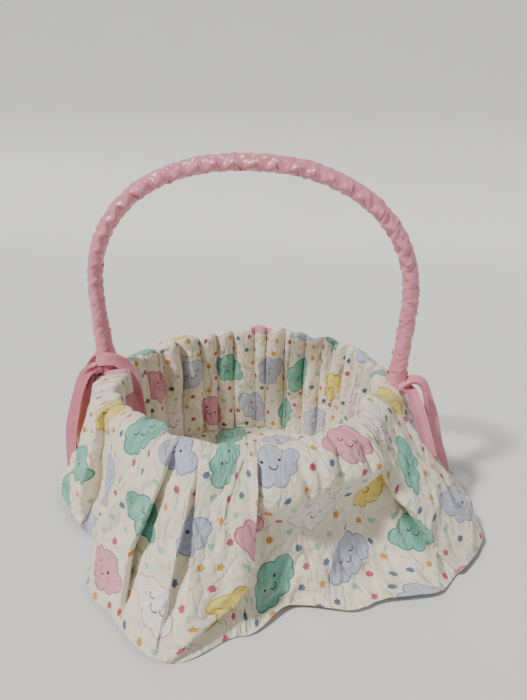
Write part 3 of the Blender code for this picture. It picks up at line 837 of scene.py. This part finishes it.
# Ridges: direction, half width and height at the five levels
RIDGES = (
    ((-118, -119, -120, -120, -119), (7, 9, 11, 12, 12), (0.002, 0.008, 0.011, 0.009, 0.003)),
    ((-107, -117, -127, -133, -137), (1.5, 2.6, 3.4, 4.2, 5), (0.003, 0.009, 0.011, 0.008, 0.003)),
    ((-110, -124, -136, -142, -146), (1.6, 2.4, 3.0, 4.0, 5), (0.002, 0.007, 0.009, 0.006, 0.002)),
    ((-152, -151, -150, -149, -149), (3, 3.6, 4.2, 5, 6), (0.003, 0.008, 0.010, 0.007, 0.003)),
    ((-14, -13, -12, -11, -11), (1.7, 2.1, 2.5, 3, 4), (0.003, 0.006, 0.007, 0.006, 0.003)),
    ((-3, -1, 1, 2, 3), (1.8, 2.2, 2.6, 3, 4), (0.003, 0.006, 0.007, 0.006, 0.003)),
    ((-162, -165, -168, -168, -168), (5, 6, 7, 8, 9), (0.001, 0.003, 0.009, 0.018, 0.010)),
    ((-100, -102, -104, -105, -106), (2.0, 2.6, 3.4, 4, 4), (0.003, 0.006, 0.005, 0.004, 0.003)),
    ((-71, -71, -71, -71, -71), (4, 5, 6, 6, 6), (0.000, 0.000, 0.000, 0.001, 0.006)),
    ((-59, -59, -59, -58, -58), (3, 4.5, 5, 6, 7), (0.000, 0.000, 0.001, 0.002, 0.003)),
    ((-46, -44, -42, -41, -41), (4, 5, 5, 6, 7), (0.000, 0.000, 0.001, 0.003, 0.006)),
    ((-22, -20, -18, -16, -15), (4, 5, 6, 7, 8), (0.003, 0.006, 0.008, 0.010, 0.008)),
    ((-8, -5, -2, 0, 1), (3, 4, 5, 6, 6), (0.003, 0.005, 0.007, 0.009, 0.008)),
)
skirt_luck = np.random.default_rng(11)


def loose_ridges():
    """Soft ridges for the sides and the back, where no fold stands out."""
    made, at = [], 8.0
    while at < 216:
        width = skirt_luck.uniform(2.6, 4.6)
        drift = skirt_luck.normal(0, 2.2)
        tall = skirt_luck.uniform(0.006, 0.013)
        grow = skirt_luck.uniform(0.7, 1.5)
        centre = tuple((at + 180) % 360 - 180 + drift * level for level in LEVELS)
        made.append((
            centre, tuple(width * (1 + 0.5 * level) for level in LEVELS),
            (0.35 * tall, tall, tall * grow, tall * grow, 0.8 * tall * grow),
        ))
        at += width * skirt_luck.uniform(2.0, 2.9)
    return tuple(made)


# The puff below the front rim: how far it stands off at each height, and the creases between its lumps
PUFF_HEIGHTS = (0.000, 0.030, 0.055, 0.080, 0.100, 0.116, 0.130, 0.142, 0.153, 0.165)
PUFF_STANDS = (0.002, -0.001, -0.006, -0.008, -0.002, 0.012, 0.023, 0.026, 0.019, 0.006)
PUFF_CREASES = (
    (-66.0, 1.7, 0.55, 9.0), (-60.5, 1.1, 0.25, -6.0), (-53.0, 1.6, 0.60, -14.0), (-44.0, 1.2, 0.30, -8.0),
)
crumple_luck = np.random.default_rng(23)
CRUMPLES = [
    (int(crumple_luck.integers(6, 27)), crumple_luck.uniform(-13, 13), crumple_luck.uniform(0, FULL_TURN),
     crumple_luck.uniform(0.6, 1.6), crumple_luck.uniform(0.0010, 0.0030),
     int(crumple_luck.integers(2, 6)))
    for _ in range(12)
]
ALL_RIDGES = RIDGES + loose_ridges()


def off_from(degrees, centre):
    return (degrees - centre + 180) % 360 - 180


def skirt_folds(degrees, down):
    """How far the cloth stands off the base shape, and how far it slips round the basket."""
    stand = np.zeros(np.broadcast(degrees, down).shape)
    slip = np.zeros_like(stand)
    for lap in LAPS:
        off = off_from(degrees, smooth_levels(lap["at"], down)) * lap["opens"]
        tall, over = smooth_levels(lap["tall"], down), smooth_levels(lap["over"], down)
        before = np.exp(np.minimum(off, 0) / lap["fade"])
        after = np.exp(-np.maximum(off, 0) / 0.75)
        stand += 1.25 * tall * before * after - 0.45 * tall * np.exp(-((off - 2.4) / 1.8) ** 2)
        lean = (over * np.exp(-((off + 0.4) / 2.2) ** 2)
                - 1.15 * over * np.exp(-((off - 2.2) / 1.7) ** 2))
        slip += lap["opens"] * lean
    for centre, width, tall in ALL_RIDGES:
        off = off_from(degrees, smooth_levels(centre, down)) / smooth_levels(width, down)
        stand += smooth_levels(tall, down) * np.exp(-off * off)
    return stand, slip


def ease_between(value, low, high):
    share = np.clip((value - low) / (high - low), 0, 1)
    return share * share * (3 - 2 * share)


def puff(degrees, height):
    """The middle of the front stands off below the rim and turns back in under itself."""
    at_front = ease_between(degrees, -81.0, -75.5) * (1 - ease_between(degrees, -41.0, -33.5))
    lift = (0.007 * np.sin(np.radians((degrees + 62) * 7.5))
            + 0.004 * np.sin(np.radians((degrees + 40) * 17)))
    stand = np.interp(height - lift * np.clip((0.16 - height) / 0.03, 0, 1), PUFF_HEIGHTS, PUFF_STANDS)
    for centre, width, depth, drift in PUFF_CREASES:
        off = (degrees - centre - drift * (0.16 - height) / 0.16) / width
        stand = stand * (1 - depth * np.exp(-np.abs(off) ** 1.3))
    return stand * at_front


def crumples(degrees, down):
    """Sharp lines that wander down the cloth in patches, left in cotton by washing, folding
    and tying."""
    fine = np.zeros(np.broadcast(degrees, down).shape)
    for round_waves, down_waves, start, bend, tall, patches in CRUMPLES:
        turn = np.radians(degrees)
        wander = (bend * np.sin(turn * patches + 3.4 * down + 2 * start)
                  + 0.7 * np.sin(turn * 17 + 9 * down + start))
        line = np.sin(turn * round_waves + down_waves * down + start + wander)
        patch = np.clip(
            0.35 + np.sin(turn * patches * 2 + 5 * down * np.sign(down_waves) + 3 * start), 0, 1,
        )
        fine += tall * patch * (1 - np.abs(line)) ** 1.6
    return fine * (0.35 + 0.65 * np.sin(np.pi * np.clip(down * 0.9 + 0.08, 0, 1)))


print("laps:", len(LAPS), "ridges:", len(ALL_RIDGES))

# %% Skirt's sheet
SKIRT_COLUMNS, OUTSIDE_ROWS, CREST_ROWS = 720, 52, 14


def skirt_surface(degrees, outside_rows=OUTSIDE_ROWS, crest_rows=CREST_ROWS, fine=True):
    degrees = np.asarray(degrees)[None, :]
    down = (np.linspace(0, 1, outside_rows) ** 0.92)[:, None]
    stand, slip = skirt_folds(degrees, down)
    if fine:
        calm = ease_between(degrees, -93.0, -90.0) * (1 - ease_between(degrees, -82.0, -79.0))
        stand = stand + crumples(degrees, down) * (1 - 0.7 * calm)
    radius, height, out_r, out_z = base_profile(degrees + slip, down)
    stand = stand + puff(degrees + slip, height)
    radius, height = radius + stand * out_r, height + stand * out_z
    radius = np.maximum(radius, WICKER_OUT + 0.0004 * (height < RIM_LOW))
    height = np.maximum(height, HEM_LIFT * 0.6)
    outside = from_polar(degrees + slip, radius, height)
    inner_stand, inner_slip = gathers(degrees[0], 0.0)
    inner_r = WALL_TOP_RADIUS - CLOTH - inner_stand
    ragged = 0.0028 * np.sin(np.radians(degrees[0] * 23) + 2 * np.sin(np.radians(degrees[0] * 5)))
    back = around(
        [(-180, 0.5), (-150, 0.3), (-90, 0.1), (-30, 0.3), (0, 0.8), (90, 1.0), (150, 0.8)], degrees[0],
    )
    top = around(CREST, degrees[0]) + 0.45 * inner_stand * back + ragged * back
    crest = []
    for share in np.linspace(0, 1, crest_rows, endpoint=False):
        out = share ** 1.5
        ease = out * out * (3 - 2 * out)
        rise = math.sin(math.pi * share ** 0.85) ** 0.8
        low = WALL_TOP + (height[0] - WALL_TOP) * ease
        crest.append(from_polar(
            degrees[0] + inner_slip * (1 - ease) + slip[0] * ease,
            inner_r + (radius[0] - inner_r) * (0.10 * share + 0.90 * ease),
            low + (top - low) * rise,
        ))
    return np.concatenate([np.array(crest), outside])


skirt_degrees, skirt_width = even_columns(lambda d: skirt_surface(d, 24, 6, False), SKIRT_COLUMNS, 4000)
skirt_points = skirt_surface(skirt_degrees)
skirt_metres, skirt_drop = metres_of(skirt_points, skirt_width)
liner_skirt = cotton_piece("liner_skirt_cloth", skirt_points, skirt_metres, "liner_skirt")
print("skirt cloth", round(skirt_width, 3), "by", round(skirt_drop, 3), "m")

# %% [markdown]
# ## The ribbon round the handle
# One long ribbon is wound round the bow from foot to foot. Each turn laps a little over the one before,
# and where it crosses the front it puckers into a slanting ridge, so the ridges make a zigzag along the
# arch. They are low near the feet and at full height on the arch. The ribbon is modelled as what it is:
# a strip whose middle line runs round and round the bow.

# %% The bow's middle line
wrap_low, wrap_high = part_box("handle_wrap")
WRAP_RADIUS = 0.0101
HALF_SPAN = wrap_high.x - WRAP_RADIUS
ARCH_TOP = wrap_high.z - WRAP_RADIUS
FOOT = wrap_low.z
SHOULDER = 0.280
DRAW_IN = 0.0065
SQUARENESS = 2.2


def bow_line(count=900):
    """Evenly spaced points on the bow's middle line from the left foot to the right one, and
    the line's length."""
    heights = np.linspace(FOOT, SHOULDER, 60)
    leg_x = HALF_SPAN - DRAW_IN * ((SHOULDER - heights) / (SHOULDER - FOOT)) ** 1.5
    turn = np.linspace(math.pi, 0, 400)
    c, s = np.cos(turn), np.sin(turn)
    k = (np.abs(c) ** SQUARENESS + np.abs(s) ** SQUARENESS) ** (-1 / SQUARENESS)
    x = np.concatenate([-leg_x[:-1], HALF_SPAN * c * k, leg_x[::-1][1:]])
    z = np.concatenate([heights[:-1], SHOULDER + (ARCH_TOP - SHOULDER) * s * k, heights[::-1][1:]])
    run = np.concatenate([[0], np.cumsum(np.hypot(np.diff(x), np.diff(z)))])
    even = np.linspace(0, run[-1], count)
    return np.interp(even, run, x), np.interp(even, run, z), run[-1]


line_x, line_z, bow_length = bow_line()
print("bow's middle line", round(bow_length, 3), "m")

# %% The wound ribbon
RIBBON_WIDTH = 0.026
RIBBON = 0.0004
TURN_RISE = 0.0224
CORE_RADIUS = 0.0088
LAP_LIFT = 0.0007
RIDGE_TALL = 0.0036
RIDGE_SIDE, RIDGE_SWING, RIDGE_HALF_ANGLE = 1.90, 0.80, 0.95
LOW_UP_TO, RISES_OVER, LOW_SHARE = 0.07, 0.06, 0.18
FOOT_SWELL, SWELL_REACH = 0.0040, 0.026
STEPS_PER_TURN, STEPS_ACROSS = 56, 16
wrap_luck = np.random.default_rng(5)


def on_bow(along, turn, radius):
    """A point at this distance along the bow, this way round it and this far from its middle line."""
    share = np.clip(along / bow_length, 0, 1) * (len(line_x) - 1)
    steps = np.arange(len(line_x))
    x, z = np.interp(share, steps, line_x), np.interp(share, steps, line_z)
    slope_x, slope_z = np.gradient(line_x), np.gradient(line_z)
    length = np.hypot(slope_x, slope_z)
    run_x, run_z = np.interp(share, steps, slope_x / length), np.interp(share, steps, slope_z / length)
    out_x, out_z = -run_z, run_x
    beyond = along - np.clip(along, 0, bow_length)
    return np.stack([
        x + out_x * radius * np.cos(turn) + run_x * beyond,
        -radius * np.sin(turn),
        z + out_z * radius * np.cos(turn) + run_z * beyond,
    ], axis=-1)


turns = (bow_length - 0.004) / TURN_RISE
ribbon_steps = int(turns * STEPS_PER_TURN)
turn = np.linspace(0, turns * 2 * math.pi, ribbon_steps)[:, None]
across = np.linspace(-0.5, 0.5, STEPS_ACROSS)[None, :]
girth = 2 * math.pi * CORE_RADIUS
tilt = math.atan2(TURN_RISE, girth)
along = 0.002 + turn / (2 * math.pi) * TURN_RISE + across * RIBBON_WIDTH * math.cos(tilt)
twist = turn - across * RIBBON_WIDTH * math.sin(tilt) / CORE_RADIUS
number = np.floor(turn / (2 * math.pi)).astype(int)
per_turn = wrap_luck.uniform(0.75, 1.2, int(turns) + 3)
strength = np.interp(turn / (2 * math.pi), np.arange(len(per_turn)), per_turn)
from_foot = np.minimum(along, bow_length - along)
on_arch = np.clip((from_foot - LOW_UP_TO) / RISES_OVER, LOW_SHARE, 1)
step_along = along / TURN_RISE + 0.12 * np.sin(0.9 * number) + 0.05 * np.sin(2.7 * number + 1)
zigzag = np.interp(np.remainder(step_along, 1), (0, 0.36, 1), (-0.5, 0.5, -0.5))
ridge_at = RIDGE_SIDE + RIDGE_SWING * zigzag
off = (np.remainder(twist - ridge_at + math.pi, 2 * math.pi) - math.pi)
ridge = np.maximum(0, 1 - np.abs(off) / RIDGE_HALF_ANGLE) ** 1.2
ridge = ridge - 0.22 * np.exp(-((np.abs(off) - 0.8) / 0.35) ** 2)
foot_swell = FOOT_SWELL * np.exp(-np.maximum(from_foot, 0) / SWELL_REACH)
ripple = np.zeros_like(along)
for _ in range(14):
    a, b = wrap_luck.uniform(0.6, 5.0), wrap_luck.uniform(-9, 9)
    ripple = ripple + wrap_luck.uniform(0.00006, 0.00022) * np.sin(
        a * turn + b * across * 3 + wrap_luck.uniform(0, 6.3))
radius = CORE_RADIUS + RIBBON + LAP_LIFT * (across + 0.5) ** 1.3 + foot_swell
radius = radius + RIDGE_TALL * ridge * strength * on_arch + ripple
radius = radius + 0.0007 * (1 - on_arch) * np.sin(2 * twist + 0.7 * number) * np.cos(2.2 * across)
radius = np.maximum(radius, CORE_RADIUS + 0.0001)
wrap_points = on_bow(along, twist, radius)
ribbon_length = math.hypot(TURN_RISE, girth) * turns
wrap_metres = np.stack([
    np.broadcast_to(turn / turn[-1, 0] * ribbon_length, along.shape),
    np.broadcast_to(across * RIBBON_WIDTH, along.shape),
], axis=-1)
handle_ribbon = grid_sheet("handle_ribbon", wrap_points, wrap_metres, "ribbon_metres", satin, RIBBON)
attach(handle_ribbon, "root")
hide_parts("handle_wrap")
print("wound ribbon", round(ribbon_length, 3), "m in", round(turns, 1), "turns")

# %% [markdown]
# ## The tied ribbons
# At each foot of the handle, satin ribbon holds the liner to the basket. It goes round the foot, is
# knotted at the front and hangs in free ends. An end is a strip along a curve, folded lengthwise by its
# own weight, so one half is bright and the other dark. A knot is a short strip bunched and wound round.


# %% Strip helpers
STRIP_STEPS = 70
STRIP_WAVE = 0.0006
TURNS_ROUND_FOOT = 1.15
KNOT_TURNS = 1.7


def smooth_curve(points, count):
    """A smooth curve through the points, with evenly spaced steps."""
    points = np.array(points, float)
    padded = np.concatenate([[2 * points[0] - points[1]], points, [2 * points[-1] - points[-2]]])
    made = []
    for i in range(len(points) - 1):
        a, b, c, d = padded[i:i + 4]
        for s in np.linspace(0, 1, 24, endpoint=False):
            made.append(0.5 * (2 * b + (c - a) * s + (2 * a - 5 * b + 4 * c - d) * s ** 2
                               + (3 * b - a - 3 * c + d) * s ** 3))
    made.append(points[-1])
    made = np.array(made)
    run = np.concatenate([[0], np.cumsum(np.linalg.norm(np.diff(made, axis=0), axis=1))])
    even = np.linspace(0, run[-1], count)
    return np.stack([np.interp(even, run, made[:, k]) for k in range(3)], axis=-1), run[-1]


def unit(v):
    return v / (np.linalg.norm(v, axis=-1, keepdims=True) + 1e-12)


def satin_piece(name, points, metres):
    strip = grid_sheet(name, points, metres, "ribbon_metres", satin, RIBBON)
    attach(strip, "root")
    return strip


def satin_strip(name, path, sides, creases, width, seed):
    """A ribbon along path. sides says which way its width goes at each point of the path, and creases
    where it is folded lengthwise: (place across it from 0 to 1, angle in degrees), in order across."""
    line, length = smooth_curve(path, STRIP_STEPS)
    side = np.stack([
        np.interp(
            np.linspace(0, 1, STRIP_STEPS), np.linspace(0, 1, len(sides)), np.array(sides, float)[:, k])
        for k in range(3)
    ], axis=-1)
    run = unit(np.gradient(line, axis=0))
    side = unit(side - run * np.sum(side * run, axis=1, keepdims=True))
    out = np.cross(run, side)
    share = np.linspace(0, 1, 21)
    bend = np.zeros_like(share)
    for at, angle in creases:
        bend += math.radians(angle) / (1 + np.exp(-(share - at) / 0.035))
    bend -= bend.mean()
    step = width / (len(share) - 1)
    flat_x = np.concatenate([[0], np.cumsum(step * np.cos((bend[1:] + bend[:-1]) / 2))])
    flat_y = np.concatenate([[0], np.cumsum(step * np.sin((bend[1:] + bend[:-1]) / 2))])
    flat_x, flat_y = flat_x - flat_x.mean(), flat_y - flat_y.mean()
    luck = np.random.default_rng(seed)
    s = np.linspace(0, 1, STRIP_STEPS)[:, None]
    ripple = sum(
        STRIP_WAVE * luck.uniform(0.3, 1) * np.sin(
            luck.uniform(3, 16) * s + luck.uniform(-4, 4) * share + luck.uniform(0, 6))
        for _ in range(5)
    )
    points = (line[:, None] + side[:, None] * flat_x[None, :, None]
              + out[:, None] * (flat_y[None, :] + ripple)[..., None])
    metres = np.stack(np.broadcast_arrays(s * length, (share * width)[None, :]), axis=-1)
    return satin_piece(name, points, metres), length


def satin_turn(name, side, height, tall, radius, flare, seed):
    """Ribbon wound round a foot of the handle, puckered and wider at its lower edge."""
    luck = np.random.default_rng(seed)
    angle = np.linspace(0, TURNS_ROUND_FOOT * 2 * math.pi, 110)[:, None]
    share = np.linspace(0, 1, 17)[None, :]
    pleats = sum(
        luck.uniform(0.0002, 0.0007) * np.sin(
            luck.uniform(2, 7) * angle + luck.uniform(-5, 5) * share * 2 + luck.uniform(0, 6))
        for _ in range(5)
    )
    reach = radius + flare * (1 - share) ** 1.6 + pleats + 0.0006 * angle / (2 * math.pi)
    lift = height + tall * share + 0.0016 * np.sin(angle + 0.8) * (1 - 0.5 * share)
    leg = HALF_SPAN - DRAW_IN * np.clip((SHOULDER - lift) / (SHOULDER - FOOT), 0, 1) ** 1.5
    points = np.stack([side * leg + reach * np.cos(angle), reach * np.sin(angle), lift], axis=-1)
    length = TURNS_ROUND_FOOT * 2 * math.pi * radius
    metres = np.stack(np.broadcast_arrays(angle / angle[-1, 0] * length, share * tall), axis=-1)
    strip = satin_piece(name, points, metres)
    return strip


def knot_lump(name, middle, axis, reach, tall, seed):
    """A short bunched strip wound round the crossing: the knot itself."""
    luck = np.random.default_rng(seed)
    axis = unit(np.array(axis, float))
    first = unit(np.cross(axis, (0.3, 0.2, 1.0)))
    second = np.cross(axis, first)
    angle = np.linspace(0, KNOT_TURNS * 2 * math.pi, 100)[:, None]
    share = np.linspace(-1, 1, 23)[None, :]
    ribs = 0.0009 * np.sin(7.0 * share + 0.5 * np.sin(angle)) + sum(
        luck.uniform(0.0002, 0.0005) * np.sin(luck.uniform(2, 6) * angle + luck.uniform(2, 9) * share
                                              + luck.uniform(0, 6)) for _ in range(4)
    )
    bulge = reach * (1 - 0.42 * share ** 2) + ribs + 0.0005 * angle / (2 * math.pi)
    points = (np.array(middle) + first * (bulge * np.cos(angle))[..., None]
              + second * (bulge * np.sin(angle))[..., None]
              + axis * (0.5 * tall * share + 0 * angle)[..., None])
    length = KNOT_TURNS * 2 * math.pi * reach
    metres = np.stack(np.broadcast_arrays(angle / angle[-1, 0] * length, share * tall / 2), axis=-1)
    strip = satin_piece(name, points, metres)


print("strip helpers ready")

# %% Left foot
FOOT_X = HALF_SPAN - DRAW_IN
KNOT_Z = FOOT + 0.0035
lk = (-FOOT_X - 0.009, -0.014, KNOT_Z - 0.004)


def hanging_end(name, path, sides, creases, width=RIBBON_WIDTH, seed=1):
    """A free end of a tied ribbon."""
    strip, length = satin_strip(name, path, sides, creases, width, seed)


left_turn = satin_turn("left_tie_turn", -1, FOOT - 0.006, 0.017, 0.0118, 0.0020, seed=3)
knot_lump("left_tie_knot", lk, (0.55, -0.5, -0.75), 0.0068, 0.017, 4)
hanging_end(
    "left_tie_front_end",
    [(lk[0] + 0.002, lk[1] - 0.005, lk[2] + 0.004), (lk[0] - 0.008, lk[1] - 0.016, lk[2] - 0.004),
     (-0.217, -0.041, 0.142), (-0.223, -0.050, 0.108), (-0.226, -0.053, 0.075),
     (-0.227, -0.054, 0.044)],
    [(0.9, -0.45, 0), (0.9, -0.45, 0), (0.92, -0.4, 0), (0.92, -0.4, 0)], [(0.56, 95)], seed=8,
)
hanging_end(
    "left_tie_back_end",
    [(lk[0] + 0.004, lk[1] + 0.000, lk[2] + 0.002), (lk[0] - 0.006, lk[1] - 0.004, lk[2] - 0.006),
     (-0.217, -0.022, 0.135), (-0.222, -0.024, 0.100), (-0.226, -0.022, 0.060)],
    [(0.8, 0.6, 0), (0.8, 0.6, 0), (0.7, 0.7, 0)], [(0.45, 60)], seed=9,
)
hanging_end(
    "left_tie_loop",
    [(lk[0] + 0.002, lk[1] + 0.004, lk[2] + 0.004), (lk[0] - 0.012, lk[1] + 0.006, lk[2] + 0.002),
     (lk[0] - 0.024, lk[1] + 0.004, lk[2] - 0.014), (lk[0] - 0.021, lk[1] + 0.000, lk[2] - 0.028),
     (lk[0] - 0.010, lk[1] - 0.002, lk[2] - 0.024), (lk[0] - 0.001, lk[1] - 0.002, lk[2] - 0.006)],
    [(0.15, 1, 0.2), (0.15, 1, 0.2)], [(0.5, 40)], seed=10, width=0.020,
)
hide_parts("left_tie_ribbon")
left_inner_turn = satin_turn("left_inner_turn", -1, FOOT + 0.010, 0.013, 0.0112, 0.0012, seed=6)
hanging_end(
    "left_inside_end",
    [(-0.200, -0.012, 0.1850), (-0.187, -0.0135, 0.1890), (-0.172, -0.0120, 0.1870),
     (-0.1600, -0.0090, 0.1740),
     (-0.1530, -0.0070, 0.150), (-0.1500, -0.0060, 0.120), (-0.1480, -0.0050, 0.086)],
    [(0.2, 0.3, 1), (0.6, 0.3, 0.6), (0.95, 0.25, 0.1), (0.98, 0.2, 0), (0.98, 0.2, 0)],
    [(0.5, 22)], seed=12, width=0.017,
)
hanging_end(
    "left_far_end",
    [(-0.196, 0.008, 0.190), (-0.212, 0.010, 0.186), (-0.228, 0.014, 0.160), (-0.243, 0.014, 0.115),
     (-0.262, 0.013, 0.072)],
    [(0.2, 1, 0.1), (0.2, 1, 0), (0.3, 1, 0)], [(0.5, 30)], seed=13, width=0.020,
)
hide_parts("left_inner_ribbon")

# %% Right foot
rk = (FOOT_X + 0.010, -0.013, KNOT_Z - 0.002)
right_turn = satin_turn("right_tie_turn", 1, FOOT - 0.004, 0.020, 0.0122, 0.0030, seed=14)
knot_lump("right_tie_knot", rk, (0.8, -0.3, 0.2), 0.0062, 0.014, 15)
hanging_end(
    "right_tie_outer_end",
    [(rk[0] - 0.002, rk[1] - 0.001, rk[2] + 0.002), (rk[0] + 0.010, rk[1] - 0.001, rk[2] + 0.010),
     (rk[0] + 0.022, rk[1] - 0.003, rk[2] + 0.004), (0.2335, -0.018, 0.150), (0.2450, -0.018, 0.110),
     (0.2560, -0.015, 0.075), (0.2630, -0.012, 0.048)],
    [(0.1, 1, 0), (0.3, 1, 0), (0.75, 0.65, 0), (0.8, 0.6, 0), (0.85, 0.5, 0)], [(0.38, 80)], seed=16,
)
hanging_end(
    "right_tie_front_end",
    [(rk[0] + 0.001, rk[1] - 0.003, rk[2] + 0.002), (rk[0] + 0.008, rk[1] - 0.012, rk[2] - 0.002),
     (0.2190, -0.038, 0.152), (0.2300, -0.044, 0.120), (0.2370, -0.046, 0.098)],
    [(0.9, 0.4, 0), (0.9, 0.3, 0), (0.9, 0.3, 0)], [(0.5, 35)], seed=17, width=0.018,
)
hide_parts("right_tie_ribbon")
print("ties made at both feet")
